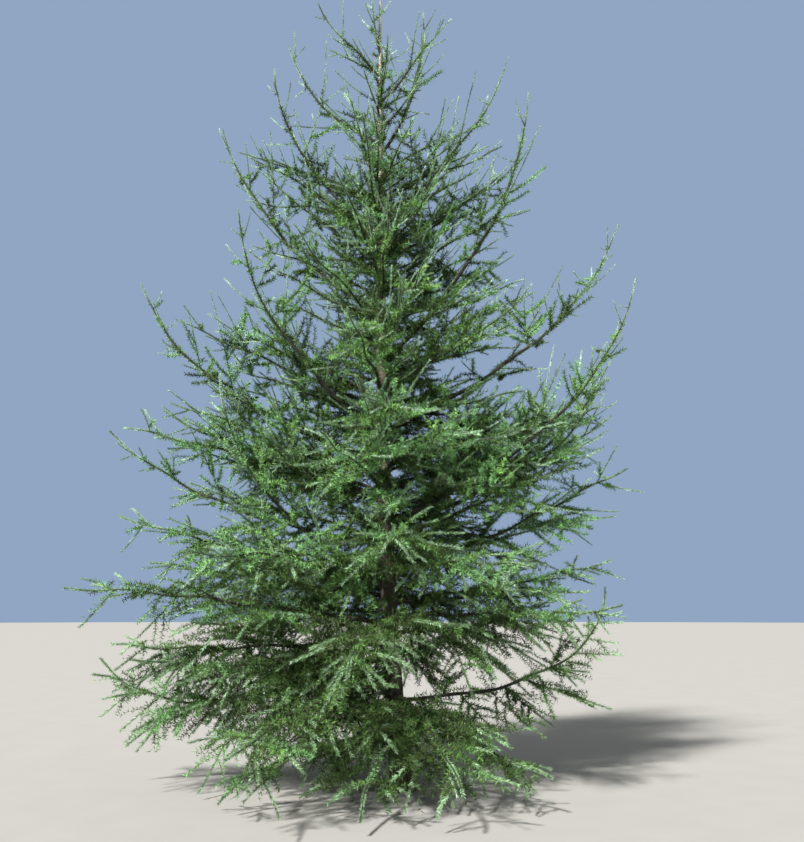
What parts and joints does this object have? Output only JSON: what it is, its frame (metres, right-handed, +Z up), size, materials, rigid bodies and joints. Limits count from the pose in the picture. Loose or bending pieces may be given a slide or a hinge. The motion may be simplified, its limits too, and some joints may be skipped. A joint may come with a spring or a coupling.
{
  "type": "tamarack tree",
  "caption": "Young open-grown tamarack, a deciduous conifer with a straight trunk, upswept boughs and a full airy cone of soft blue-green needles, fixed at its ground line.",
  "frame": {"origin": "middle of the trunk's flat cut at ground level", "axes": "+Z up along the trunk, +X to the right and -Y towards the viewer of the picture"},
  "size_m": [5.4247, 4.537, 8.3],
  "materials": {
    "bark": "scaly grey-brown bark, pinkish tan higher up, matte",
    "needles": "soft blue-green needles in tufts, paler and glaucous on the new shoots"
  },
  "bodies": {
    "root": {"trunk": "bark", "bough_01": "bark", "bough_02": "bark", "bough_03": "bark", "bough_04": "bark", "bough_05": "bark", "bough_06": "bark", "bough_07": "bark", "bough_08": "bark", "bough_09": "bark", "bough_10": "bark", "foliage_01": "needles", "foliage_02": "needles", "foliage_03": "needles", "foliage_04": "needles", "foliage_05": "needles", "foliage_06": "needles", "foliage_07": "needles", "foliage_08": "needles", "foliage_09": "needles", "foliage_10": "needles", "foliage_11": "needles", "foliage_12": "needles", "foliage_13": "needles", "foliage_14": "needles", "foliage_15": "needles", "foliage_16": "needles", "foliage_17": "needles", "foliage_18": "needles", "foliage_19": "needles", "foliage_20": "needles", "foliage_21": "needles", "foliage_22": "needles", "foliage_23": "needles", "foliage_24": "needles", "foliage_25": "needles", "foliage_26": "needles", "foliage_27": "needles", "foliage_28": "needles", "foliage_29": "needles", "foliage_30": "needles", "foliage_31": "needles", "foliage_32": "needles", "foliage_33": "needles", "foliage_34": "needles", "foliage_35": "needles", "foliage_36": "needles", "foliage_37": "needles", "foliage_38": "needles", "foliage_39": "needles", "foliage_40": "needles", "foliage_41": "needles", "foliage_42": "needles", "foliage_43": "needles", "foliage_44": "needles", "foliage_45": "needles", "foliage_46": "needles", "foliage_47": "needles", "foliage_48": "needles", "foliage_49": "needles"}
  },
  "joints": []
}
